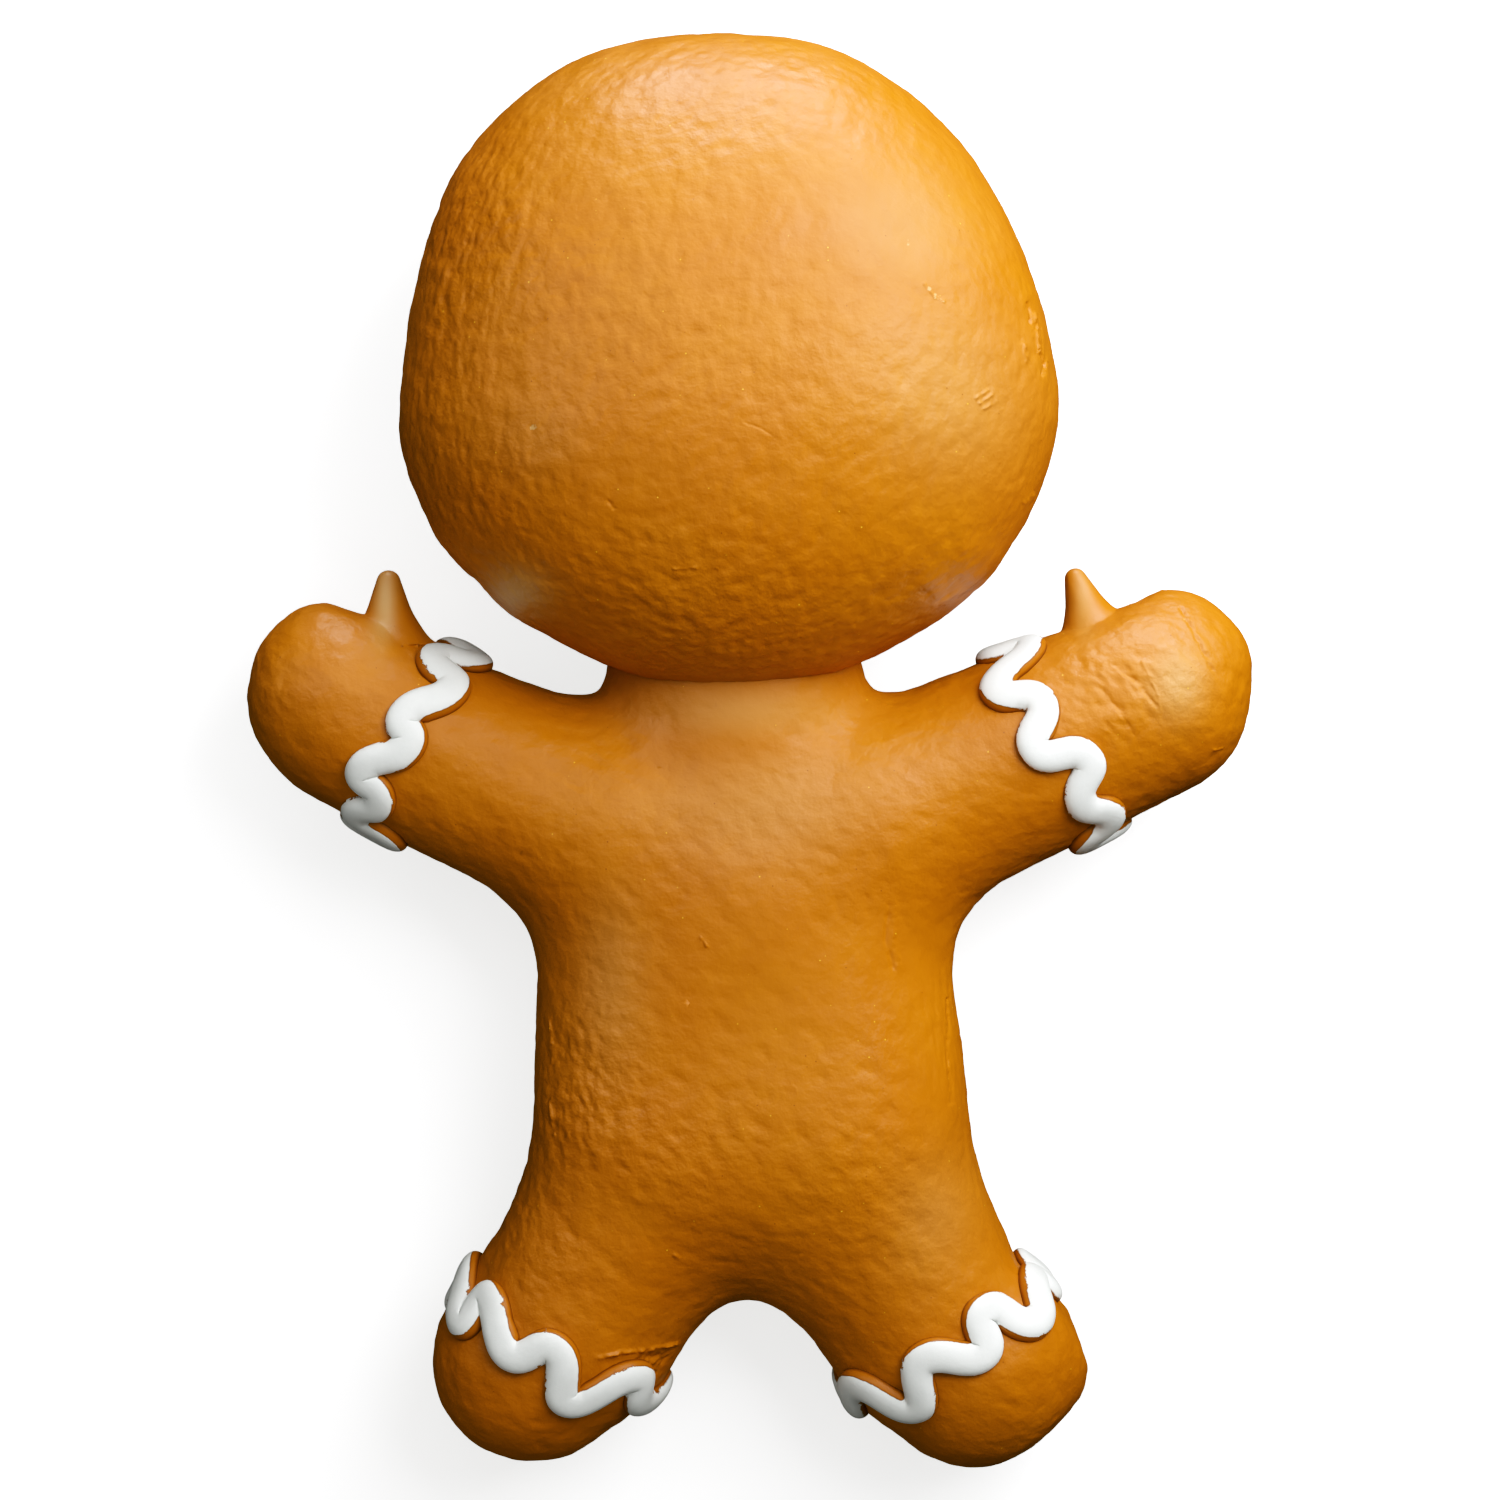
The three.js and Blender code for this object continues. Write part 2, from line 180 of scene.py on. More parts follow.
# Pale patches of painted sheen, that is painted highlights and painted reflections: on the head,
# the right hand, the thumbs, the neck, the chest, the belly and the right leg. Then the places
# where the
# paint is scraped. For each place: its middle, its reach across and along the figure, and how much.
SHEEN_PATCHES = (
    ((-0.1440, 0.0990), (0.020, 0.014), 0.72),
    ((-0.1250, 0.1900), (0.026, 0.022), 0.09),
    ((0.2646, 0.0476), (0.017, 0.021), 0.40),
    ((-0.0060, 0.0300), (0.060, 0.016), 0.22),
    ((0.0050, -0.0300), (0.060, 0.035), 0.16),
    ((0.1220, 0.2160), (0.045, 0.050), 0.19),
    ((0.0948, 0.3192), (0.040, 0.036), 0.16),
    ((0.1145, -0.2800), (0.028, 0.040), 0.14),
    ((-0.2275, 0.1000), (0.007, 0.026), 0.72),
    ((0.2085, 0.1000), (0.006, 0.022), 0.30),
    ((-0.0850, -0.1350), (0.022, 0.055), 0.16),
)
SCRAPED = (
    ((-0.1270, 0.1960), (0.006, 0.005), 0.78),
    ((0.1060, 0.2790), (0.004, 0.003), 0.80),
    ((0.1100, 0.2745), (0.003, 0.004), 0.80),
    ((0.1140, 0.2720), (0.004, 0.003), 0.78),
    ((0.0950, 0.3080), (0.004, 0.006), 0.66),
    ((0.0530, 0.3250), (0.009, 0.004), 0.66),
    ((-0.2560, -0.0350), (0.006, 0.006), 0.66),
)

# Only the back is marked, from this height up, and each place fades out before FADED_OUT.
BACK_FROM = 0.08
FADED_OUT = 6


def share_at(spot, places):
    """How much a list of places marks the back at a spot: painted sheen for one list, scraped paint
    for the other.
    """
    share = 0.0
    for middle, reach, amount in places:
        across = (spot.x - middle[0]) / reach[0]
        along = (spot.y - middle[1]) / reach[1]
        apart = across * across + along * along
        if apart < FADED_OUT and spot.z > BACK_FROM:
            share = max(share, amount * math.exp(-apart))
    return share


def raise_lumps(bm, patches, wrinkles, grain):
    """Lumps on the whole skin, and a note at each point of how rough it is, how much painted sheen
    it has, and how scraped it is.
    """
    rough = bm.verts.layers.float.new("rough")
    painted_sheen = bm.verts.layers.float.new("painted_sheen")
    scraped = bm.verts.layers.float.new("scraped")
    turn = Matrix.Rotation(math.radians(grain), 3, "Z")
    bm.normal_update()
    normals = [vert.normal.copy() for vert in bm.verts]
    for vert, normal in zip(bm.verts, normals):
        gain = patch_gain(vert.co, patches)
        vert[rough] = gain
        vert[painted_sheen] = share_at(vert.co, SHEEN_PATCHES)
        vert[scraped] = share_at(vert.co, SCRAPED)
        lift = skin_lumps(turn @ vert.co, gain) + skin_wrinkles(vert.co, wrinkles) - SKIN_BACK
        vert.co += normal * lift
        vert.co.z = min(max(vert.co.z, 0.0), cad_box[1][2] - CLEAR_OF_BOX)
        vert.co.y = min(vert.co.y, cad_box[1][1] - CLEAR_OF_BOX)


# Marks are cut into a finer mesh, divided MARK_ROUNDS times, as far out as MARK_REACH widths. Their
# height wavers by MARK_WAVER, over lengths of 1 / WAVER_GRAIN. FACES_UP tells the back's points.
MARK_ROUNDS = 2
MARK_REACH = 3
MARK_WAVER = 1.2
WAVER_GRAIN = 260
FACES_UP = 0.1


def from_path(spot, path):
    """How far a spot is from a path on the skin, seen from above."""
    flat = spot.to_2d()
    apart = math.inf
    for first, second in zip(path, path[1:]):
        start = Vector(first)
        run = Vector(second) - start
        share = min(1.0, max(0.0, (flat - start).dot(run) / run.length_squared))
        apart = min(apart, (flat - start - run * share).length)
    return apart


def beside_marks(bm, marks):
    """The points of the back near each mark, and how far from it they are."""
    bm.verts.ensure_lookup_table()
    tree = KDTree(len(bm.verts))
    for vert in bm.verts:
        if vert.normal.z > FACES_UP:
            tree.insert(vert.co.to_2d().to_3d(), vert.index)
    tree.balance()
    for path, width, height in marks:
        found = set()
        for first, second in zip(path, path[1:]):
            start, end = Vector(first), Vector(second)
            steps = math.ceil((end - start).length / width)
            for step in range(steps + 1):
                spot = start.lerp(end, step / steps).to_3d()
                found.update(index for _, index, _ in tree.find_range(spot, MARK_REACH * width))
        beside = [(bm.verts[index], from_path(bm.verts[index].co, path)) for index in sorted(found)]
        yield beside, width, height


def raise_marks(bm, marks):
    """Scratches, creases and ridges: the path of each on the back, its width and its height."""
    for _ in range(MARK_ROUNDS):
        bm.verts.index_update()
        near = {vert for beside, width, height in beside_marks(bm, marks) for vert, apart in beside}
        edges = [edge for edge in bm.edges if edge.verts[0] in near and edge.verts[1] in near]
        bmesh.ops.subdivide_edges(bm, edges=edges, cuts=1, use_grid_fill=True)
        bmesh.ops.triangulate(bm, faces=[face for face in bm.faces if len(face.verts) > 4])
        bm.normal_update()
    bm.verts.index_update()
    for beside, width, height in beside_marks(bm, marks):
        for vert, apart in beside:
            waver = 1 + MARK_WAVER * noise.noise(vert.co * WAVER_GRAIN)
            vert.co += vert.normal * height * waver * math.exp(-((apart / width) ** 2))


# Wrinkles of the head: middle, reach, degrees from the length, width and length, height.
HEAD_WRINKLES = (
    ((-0.16, 0.33, 0.17), 0.07, 25, (0.0042, 0.0090), 0.00030),
    ((-0.06, 0.10, 0.20), 0.07, -70, (0.0045, 0.0090), 0.00025),
)

# Scratches, scars and cracks on the head, and the small print of three ridges at its right.
HEAD_MARKS = (
    (((-0.0440, 0.1128), (-0.0310, 0.1134)), 0.0009, 0.0004),
    (((-0.0021, 0.1973), (0.0070, 0.1940), (0.0155, 0.1885)), 0.0009, -0.0002),
    (((-0.0850, 0.1530), (-0.0817, 0.1514), (-0.0790, 0.1480)), 0.0012, -0.0004),
    (((0.1350, 0.2150), (0.1420, 0.2200)), 0.0011, 0.0007),
    (((0.1375, 0.2120), (0.1450, 0.2175)), 0.0011, 0.0007),
    (((0.1400, 0.2090), (0.1475, 0.2140)), 0.0011, 0.0006),
    (((0.1688, 0.2759), (0.1708, 0.2700), (0.1704, 0.2639)), 0.0011, -0.0012),
    (((0.1735, 0.2700), (0.1752, 0.2560), (0.1762, 0.2470)), 0.0013, 0.0011),
    (((0.1768, 0.2480), (0.1795, 0.2400), (0.1783, 0.2328)), 0.0011, -0.0014),
    (((0.1655, 0.2499), (0.1673, 0.2408)), 0.0018, 0.0009),
    (((0.1680, 0.1560), (0.1730, 0.1610)), 0.0016, 0.0009),
    (((0.1040, 0.2813), (0.1095, 0.2745), (0.1154, 0.2717)), 0.0009, 0.0006),
)

head = bmesh.new()
bmesh.ops.create_icosphere(head, subdivisions=HEAD_ROUNDS, radius=1)
shown = [edge for edge in head.edges if all(vert.co.z > SHOWN_FROM for vert in edge.verts)]
bmesh.ops.subdivide_edges(head, edges=shown, cuts=1, use_grid_fill=True)
for vert in head.verts:
    way = vert.co.normalized()
    exponent, height = head_shape(way.y)
    flat = (abs(way.x) ** exponent + abs(way.y) ** exponent) ** (1 / exponent)
    level = math.hypot(flat, way.z)
    up = way.y * height / level
    across = way.x * HEAD_HALF_WIDTH / level + HEAD_LEAN * up
    outwards = Vector((way.x, way.y, 0)).normalized() * rim_swell(way)
    vert.co = HEAD_CENTRE + Vector((across, up, way.z * HEAD_HALF_DEPTH / level)) + outwards
bmesh.ops.triangulate(head, faces=[face for face in head.faces if len(face.verts) > 4])
raise_lumps(head, HEAD_PATCHES, HEAD_WRINKLES, HEAD_GRAIN)
raise_marks(head, HEAD_MARKS)


def finished_piece(bm, name, material):
    """A piece of the figure from its bmesh, smooth, riding on the one body."""
    bmesh.ops.recalc_face_normals(bm, faces=bm.faces)
    mesh = bpy.data.meshes.new(name)
    bm.to_mesh(mesh)
    bm.free()
    mesh.shade_smooth()
    mesh.materials.append(material)
    piece = bpy.data.objects.new(name, mesh)
    bpy.context.scene.collection.objects.link(piece)
    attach(piece, "root")
    return piece


class Finish:
    """A paint whose nodes are added one by one."""

    def __init__(self, name):
        self.material = bpy.data.materials.new(name)
        self.material.use_nodes = True
        self.tree = self.material.node_tree
        self.shader = self.tree.nodes["Principled BSDF"]
        self.place = self.add("ShaderNodeTexCoord").outputs["Object"]

    def add(self, kind, *inputs, **settings):
        """A new node, with its settings and with what goes into it."""
        node = self.tree.nodes.new(kind)
        for name, value in settings.items():
            setattr(node, name, value)
        for key, value in inputs:
            self.feed(node.inputs[key], value)
        return node

    def feed(self, socket, value):
        """A value set on a socket, or another node's output linked to it."""
        if isinstance(value, bpy.types.NodeSocket):
            self.tree.links.new(value, socket)
        else:
            socket.default_value = value

    def grain(self, scale, detail, roughness=0.5):
        """Noise from 0 to 1 whose lumps are 1 / scale long."""
        node = self.add("ShaderNodeTexNoise", ("Vector", self.place), ("Scale", scale),
                        ("Detail", detail), ("Roughness", roughness))
        return node.outputs["Fac"]

    def combine(self, operation, first, second, third=0.0):
        """What a sum makes of two or three values."""
        node = self.add("ShaderNodeMath", (0, first), (1, second), (2, third), operation=operation)
        return node.outputs[0]

    def between(self, value, low, high, to_low=0.0, to_high=1.0):
        """A value from low to high turned into one from to_low to to_high."""
        node = self.add("ShaderNodeMapRange", ("Value", value), ("From Min", low),
                        ("From Max", high), ("To Min", to_low), ("To Max", to_high))
        return node.outputs["Result"]

    def mix(self, share, first, second):
        """The first colour, with a share of the second over it."""
        node = self.add("ShaderNodeMix", ("Factor", share), data_type="RGBA")
        # The node has its sockets once for each kind of value. These are the ones for colours.
        self.feed(node.inputs[6], first)
        self.feed(node.inputs[7], second)
        return node.outputs[2]


BROWN = (0.455, 0.128, 0.0020, 1)
LIGHT_BROWN = (0.505, 0.153, 0.0034, 1)
DARK_BROWN = (0.405, 0.110, 0.0016, 1)
# One pale colour for the painted sheen, highlights and reflections, and for the chalk under scraped
# paint.
PALE_SHEEN_AND_CHALK = (0.66, 0.39, 0.155, 1)
YELLOW_FLECK = (0.95, 0.5, 0.05, 1)
DARK_FLECK = (0.2, 0.05, 0.001, 1)

# How many lumps of each noise, and how many places for a fleck, go into a metre.
CLOUD_GRAIN = 9
MOTTLE_GRAIN = 70
SCRAPE_GRAIN = 260
FLECK_GRAIN = 300
DULL_GRAIN = 30
FINE_GRAIN = 300

# The most that the darker mottle, the scraped paint and a fleck cover of what is under them.
MOTTLE_SHARE = 0.35
SCRAPE_SHARE = 0.7
FLECK_SHARE = 0.9

# Paint is scraped off from the first value of TORN on, and wholly from the second. A fleck is full
# to the first part of its place's width in FLECK_SIZE, and gone at the second. A place has a fleck
# when its random number, from 0 to 1, is above YELLOW_PLACES or DARK_PLACES.
TORN = (1.16, 1.22)
FLECK_SIZE = (0.08, 0.17)
YELLOW_PLACES = (0.984, 0.987)
DARK_PLACES = (0.980, 0.984)

CRUST_ROUGHNESS = (0.42, 0.54)
CRUST_GLOSS = 0.7
CRUST_BUMP = 0.8
BUMP_HEIGHT = 0.0005


def crust_paint():
    """Satin gingerbread-brown paint over the lumpy skin, with pale patches of painted sheen, chalk
    where it is scraped, and flecks dried into it.
    """
    paint = Finish("crust_paint")
    clouds = paint.grain(CLOUD_GRAIN, 3)
    mottle = paint.grain(MOTTLE_GRAIN, 3, 0.6)
    colour = paint.mix(paint.between(clouds, 0.35, 0.65), BROWN, LIGHT_BROWN)
    colour = paint.mix(paint.between(mottle, 0.3, 0.7, 0.0, MOTTLE_SHARE), colour, DARK_BROWN)
    # Painted sheen: pale patches over the brown that stand for highlights and reflections, joined
    # with the chalk of scraped paint.
    painted_sheen = paint.add("ShaderNodeAttribute", attribute_name="painted_sheen").outputs["Fac"]
    scraped = paint.add("ShaderNodeAttribute", attribute_name="scraped").outputs["Fac"]
    ragged = paint.combine("ADD", scraped, paint.grain(SCRAPE_GRAIN, 4, 0.7))
    torn = paint.between(ragged, *TORN, 0.0, SCRAPE_SHARE)
    sheen_and_chalk = paint.combine("MAXIMUM", painted_sheen, torn)
    colour = paint.mix(sheen_and_chalk, colour, PALE_SHEEN_AND_CHALK)
    specks = paint.add("ShaderNodeTexVoronoi", ("Vector", paint.place), ("Scale", FLECK_GRAIN))
    picked = paint.add("ShaderNodeSeparateColor", ("Color", specks.outputs["Color"]))
    near = paint.between(specks.outputs["Distance"], *FLECK_SIZE, FLECK_SHARE, 0.0)
    light = paint.combine("MULTIPLY", near, paint.between(picked.outputs[0], *YELLOW_PLACES))
    dark = paint.combine("MULTIPLY", near, paint.between(picked.outputs[1], *DARK_PLACES))
    colour = paint.mix(light, colour, YELLOW_FLECK)
    colour = paint.mix(dark, colour, DARK_FLECK)
    paint.feed(paint.shader.inputs["Base Color"], colour)
    dull = paint.grain(DULL_GRAIN, 4, 0.6)
    paint.feed(paint.shader.inputs["Roughness"], paint.between(dull, 0.3, 0.7, *CRUST_ROUGHNESS))
    paint.shader.inputs["Specular IOR Level"].default_value = CRUST_GLOSS
    rough = paint.add("ShaderNodeAttribute", attribute_name="rough").outputs["Fac"]
    fine = paint.combine("MULTIPLY", paint.grain(FINE_GRAIN, 3), rough)
    bump = paint.add("ShaderNodeBump", ("Height", fine), ("Strength", CRUST_BUMP),
                     ("Distance", BUMP_HEIGHT))
    paint.feed(paint.shader.inputs["Normal"], bump.outputs["Normal"])
    return paint.material


crust = crust_paint()
head_piece = finished_piece(head, "head", crust)
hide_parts("gingerbread_figure")

# ---------------------------------------------------------------------------------------------
# Trunk. Neck, back, arms and legs are one hollow moulding with the head. The pointed thumbs stand
# on the hands and run into them with a small fillet.

# The skin is drawn in voxels over the plain shape, smoothed, divided once more above
# TRUNK_SHOWN_FROM, swelled by what the smoothing took off, and thinned at the end.
TRUNK_VOXEL = 0.0036
TRUNK_SMOOTHING = 16
FINE_SMOOTHING = 3
TRUNK_SWELL = 0.0005
TRUNK_SHOWN_FROM = 0.068
TRUNK_TRIANGLES = 192000
SAME_POINT = 1e-6

# The neck runs up to NECK_TOP inside the head. A face whose points lie within INSIDE_HEAD of the
# head's size belongs to the head. The open edges within NECK_REACH of its middle are the neck's.
NECK_TOP = 0.100
NECK_REACH = 0.12
INSIDE_HEAD = 1.002

# The plain cones that are taken off for the thumbs to be put on: tip, base and the radius there.
THUMB_CONES = (
    (Vector((-0.2257, 0.1109, 0.080)), Vector((-0.2192, 0.0619, 0.080))),
    (Vector((0.2065, 0.1114, 0.080)), Vector((0.2168, 0.0619, 0.080))),
)
CONE_TIP_RADIUS = 0.0075
CONE_BASE_RADIUS = 0.029
CONE_SLACK = 0.0015

# The thumbs: where each one's tip is and the way it runs down into the hand. The round of the tip
# runs into the shaft TIP_ENDS of its radius down, where it is TIP_WIDTH of its radius wide.
THUMBS = {
    "left": (Vector((-0.2262, 0.1189, 0.080)), Vector((0.02, -1.0, 0)).normalized()),
    "right": (Vector((0.2028, 0.1200, 0.080)), Vector((0.334, -0.943, 0)).normalized()),
}
THUMB_TIP_RADIUS = 0.0075
TIP_ENDS = 0.68
TIP_WIDTH = 0.95
THUMB_TAPER = 0.34
THUMB_FLARE_FROM = 0.020
THUMB_FLARE = 0.009
THUMB_LENGTH = 0.048
THUMB_SIDES = 64
TIP_RINGS = 10
SHAFT_RINGS = 30

# The fillet: how far down a thumb it starts, how far out from the thumb and from the hand it
# reaches, and how many rounds of smoothing make it.
FILLET_FROM = 0.012
FILLET_OUT = 0.008
FILLET_OFF_HAND = 0.005
FILLET_ROUNDS = 8

# Where the outline of a hand or a foot stands out or in from a plain round: the middle of the
# place, its reach and the move.
TRUNK_PUSHES = (
    ((0.2137, -0.3860, 0.075), 0.045, (0.0030, 0, 0)),
    ((0.1867, -0.3249, 0.075), 0.038, (-0.0065, -0.0010, 0)),
    ((0.2011, -0.3482, 0.075), 0.036, (-0.0045, 0, 0)),
    ((0.1804, -0.4288, 0.075), 0.042, (-0.0018, 0.0020, 0)),
    ((-0.2739, 0.0985, 0.080), 0.042, (0, 0.0024, 0)),
    ((-0.3048, 0.0777, 0.080), 0.036, (-0.0008, 0.0010, 0)),
    ((-0.2884, -0.0117, 0.080), 0.036, (-0.0008, -0.0010, 0)),
    ((-0.2462, 0.0928, 0.080), 0.030, (0, -0.0050, 0)),
    ((-0.1882, 0.0752, 0.080), 0.028, (0, 0.0038, 0)),
    ((0.2686, 0.1054, 0.080), 0.034, (0, 0.0032, 0)),
    ((-0.1720, -0.3160, 0.070), 0.032, (-0.0045, 0, 0)),
    ((0.2060, -0.3640, 0.075), 0.022, (-0.0045, 0, 0)),
)


def on_cone(spot):
    """Whether a spot is on one of the plain cones."""
    for tip, base in THUMB_CONES:
        run = tip - base
        share = (spot - base).dot(run) / run.length_squared
        aside = (spot - base - run * share).length
        radius = CONE_BASE_RADIUS + (CONE_TIP_RADIUS - CONE_BASE_RADIUS) * share
        if share > 0 and aside < radius + CONE_SLACK:
            return True
    return False


def thumb_radius(down):
    """A thumb's radius below its round tip."""
    flare = max(0.0, (down - THUMB_FLARE_FROM) / (THUMB_LENGTH - THUMB_FLARE_FROM))
    taper = THUMB_TAPER * (down - THUMB_TIP_RADIUS * TIP_ENDS)
    return THUMB_TIP_RADIUS * TIP_WIDTH + taper + THUMB_FLARE * flare * flare


def smooth(bm, verts, rounds):
    """Points drawn towards their neighbours, round after round."""
    for _ in range(rounds):
        bmesh.ops.smooth_vert(bm, verts=verts, factor=0.5,
                              use_axis_x=True, use_axis_y=True, use_axis_z=True)


def after_modifier(bm, kind, **settings):
    """What one modifier makes of a bmesh."""
    mesh = bpy.data.meshes.new("blank")
    bm.to_mesh(mesh)
    bm.free()
    blank = bpy.data.objects.new("blank", mesh)
    bpy.context.scene.collection.objects.link(blank)
    modifier = blank.modifiers.new(kind, kind)
    for name, value in settings.items():
        setattr(modifier, name, value)
    made = bmesh.new()
    made.from_object(blank, bpy.context.evaluated_depsgraph_get())
    bpy.data.objects.remove(blank)
    return made


trunk = bmesh.new()
trunk.from_mesh(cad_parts["gingerbread_figure"].data)
bmesh.ops.remove_doubles(trunk, verts=trunk.verts, dist=SAME_POINT)
spare = [
    face for face in trunk.faces
    if all(head_level(vert.co) < INSIDE_HEAD for vert in face.verts)
    or all(on_cone(vert.co) for vert in face.verts)
]
bmesh.ops.delete(trunk, geom=spare, context="FACES")
neck_rim = [
    edge for edge in trunk.edges
    if edge.is_boundary and abs(edge.verts[0].co.x - HEAD_CENTRE.x) < NECK_REACH
]
grown = bmesh.ops.extrude_edge_only(trunk, edges=neck_rim)["geom"]
for vert in (part for part in grown if isinstance(part, bmesh.types.BMVert)):
    vert.co.y = NECK_TOP
bmesh.ops.holes_fill(trunk, edges=[edge for edge in trunk.edges if edge.is_boundary], sides=0)
trunk = after_modifier(trunk, "REMESH", mode="VOXEL", voxel_size=TRUNK_VOXEL)
smooth(trunk, trunk.verts, TRUNK_SMOOTHING)
shown = [edge for edge in trunk.edges if all(vert.co.z > TRUNK_SHOWN_FROM for vert in edge.verts)]
bmesh.ops.subdivide_edges(trunk, edges=shown, cuts=1, use_grid_fill=True)
smooth(trunk, trunk.verts, FINE_SMOOTHING)
trunk.normal_update()
for vert, normal in [(vert, vert.normal.copy()) for vert in trunk.verts]:
    vert.co += normal * TRUNK_SWELL
for middle, reach, move in TRUNK_PUSHES:
    for vert in trunk.verts:
        share = max(0.0, 1 - (vert.co - Vector(middle)).length_squared / reach ** 2)
        vert.co += Vector(move) * share * share


def thumb_blank(tip, way):
    """A thumb from its round tip to a base buried in the hand, turned like a skittle."""
    slant = math.atan(THUMB_TAPER)
    profile = []
    for step in range(TIP_RINGS + 1):
        angle = math.pi / 2 - (math.pi / 2 - slant) * step / TIP_RINGS
        radius = THUMB_TIP_RADIUS * math.cos(angle)
        profile.append((radius, THUMB_TIP_RADIUS * (1 - math.sin(angle))))
    top = profile[-1][1]
    for step in range(1, SHAFT_RINGS + 1):
        down = top + (THUMB_LENGTH - top) * step / SHAFT_RINGS
        profile.append((thumb_radius(down), down))
    profile.append((0.0, THUMB_LENGTH))
    bm = bmesh.new()
    points = [bm.verts.new((radius, -down, 0)) for radius, down in profile]
    edges = [bm.edges.new(pair) for pair in zip(points, points[1:])]
    bmesh.ops.spin(bm, geom=points + edges, axis=(0, 1, 0), cent=(0, 0, 0), dvec=(0, 0, 0),
                   angle=math.tau, steps=THUMB_SIDES, use_merge=True)
    bmesh.ops.remove_doubles(bm, verts=bm.verts, dist=SAME_POINT)
    bmesh.ops.recalc_face_normals(bm, faces=bm.faces)
    turn = Matrix.Rotation(math.atan2(way.x, -way.y), 4, "Z")
    bmesh.ops.transform(bm, matrix=Matrix.Translation(tip) @ turn, verts=bm.verts)
    return bm


for tip, way in THUMBS.values():
    blank = bpy.data.meshes.new("thumb_blank")
    thumb = thumb_blank(tip, way)
    thumb.to_mesh(blank)
    thumb.free()
    operand = bpy.data.objects.new("thumb_blank", blank)
    bpy.context.scene.collection.objects.link(operand)
    hand = BVHTree.FromBMesh(trunk)
    trunk = after_modifier(trunk, "BOOLEAN", operation="UNION", solver="EXACT", object=operand)
    bpy.data.objects.remove(operand)
    bmesh.ops.triangulate(trunk, faces=[face for face in trunk.faces if len(face.verts) > 4])
    near = []
    for vert in trunk.verts:
        down = (vert.co - tip).dot(way)
        aside = (vert.co - tip - way * down).length
        if FILLET_FROM < down < THUMB_LENGTH and aside < thumb_radius(down) + FILLET_OUT:
            gap = hand.find_nearest(vert.co)[3]
            if gap < FILLET_OFF_HAND:
                near.append(vert)
    smooth(trunk, near, FILLET_ROUNDS)

# The beads of icing lie on the smooth trunk, from before it gets its lumps.
bed = BVHTree.FromBMesh(trunk)

# The trunk's grain, rough and smooth patches and wrinkles, given as the head's are.
TRUNK_GRAIN = -58
TRUNK_PATCHES = (
    ((-0.11, -0.20, 0.15), 0.08, 1.1),
    ((-0.04, -0.24, 0.15), 0.07, 0.6),
    ((0.07, -0.26, 0.15), 0.06, 0.5),
    ((0.02, -0.13, 0.16), 0.09, -0.5),
    ((0.27, 0.05, 0.12), 0.07, 0.4),
    ((0.11, -0.12, 0.14), 0.05, -0.7),
    ((0.12, -0.19, 0.13), 0.05, -0.7),
    ((-0.01, 0.03, 0.15), 0.08, -0.6),
    ((-0.12, -0.30, 0.12), 0.07, 0.5),
    ((0.10, -0.30, 0.12), 0.06, 0.4),
    ((-0.225, 0.105, 0.08), 0.045, -1.6),
    ((0.207, 0.105, 0.08), 0.045, -1.6),
)
TRUNK_WRINKLES = (
    ((0.2250, 0.0380, 0.130), 0.042, -42, (0.0032, 0.0120), 0.00055),
    ((0.2750, 0.0720, 0.120), 0.035, -25, (0.0030, 0.0100), 0.00035),
    ((-0.1050, -0.2050, 0.130), 0.050, -35, (0.0040, 0.0085), 0.00045),
    ((0.1240, -0.1750, 0.110), 0.050, 0, (0.0030, 0.0160), 0.00035),
)

# A crease and a crack in the right hand, a sharp ridge on the left foot, a seam down the right of
# the back, and scratches at the waist.
TRUNK_MARKS = (
    (((0.2251, 0.0578), (0.2370, 0.0490), (0.2462, 0.0388), (0.2546, 0.0275)), 0.0016, -0.0006),
    (((0.2166, 0.0433), (0.2251, 0.0332), (0.2378, 0.0134)), 0.0014, -0.0004),
    (((0.2420, 0.0600), (0.2510, 0.0400), (0.2530, 0.0290)), 0.0010, 0.0004),
    (((0.2687, 0.0937), (0.2773, 0.0740), (0.2857, 0.0557)), 0.0013, -0.0008),
    (((0.2880, 0.0060), (0.2935, 0.0070)), 0.0008, 0.0006),
    (((-0.0922, -0.3680), (-0.0790, -0.3652), (-0.0670, -0.3655), (-0.0448, -0.3643)),
     0.0014, 0.0014),
    (((-0.0660, -0.3720), (-0.0520, -0.3710), (-0.0590, -0.3800)), 0.0035, -0.0012),
    (((-0.0455, -0.3040), (-0.0428, -0.3062)), 0.0012, 0.0008),
    (((0.0854, -0.0891), (0.0842, -0.1106), (0.0885, -0.1290)), 0.0016, -0.0005),
    (((0.0890, -0.0880), (0.0880, -0.1100), (0.0920, -0.1280)), 0.0022, 0.0004),
    (((-0.0290, -0.1080), (-0.0255, -0.1130)), 0.0010, 0.0007),
    (((0.1236, -0.1491), (0.1228, -0.1780), (0.1250, -0.2111)), 0.0013, -0.0007),
    (((-0.1232, -0.1615), (-0.1215, -0.1750)), 0.0011, 0.0008),
    (((-0.1226, -0.2110), (-0.1200, -0.2310)), 0.0011, 0.0008),
)
raise_lumps(trunk, TRUNK_PATCHES, TRUNK_WRINKLES, TRUNK_GRAIN)
raise_marks(trunk, TRUNK_MARKS)
triangles = sum(len(face.verts) - 2 for face in trunk.faces)
trunk = after_modifier(trunk, "DECIMATE", ratio=TRUNK_TRIANGLES / triangles)
trunk_piece = finished_piece(trunk, "trunk", crust)
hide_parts("gingerbread_figure")

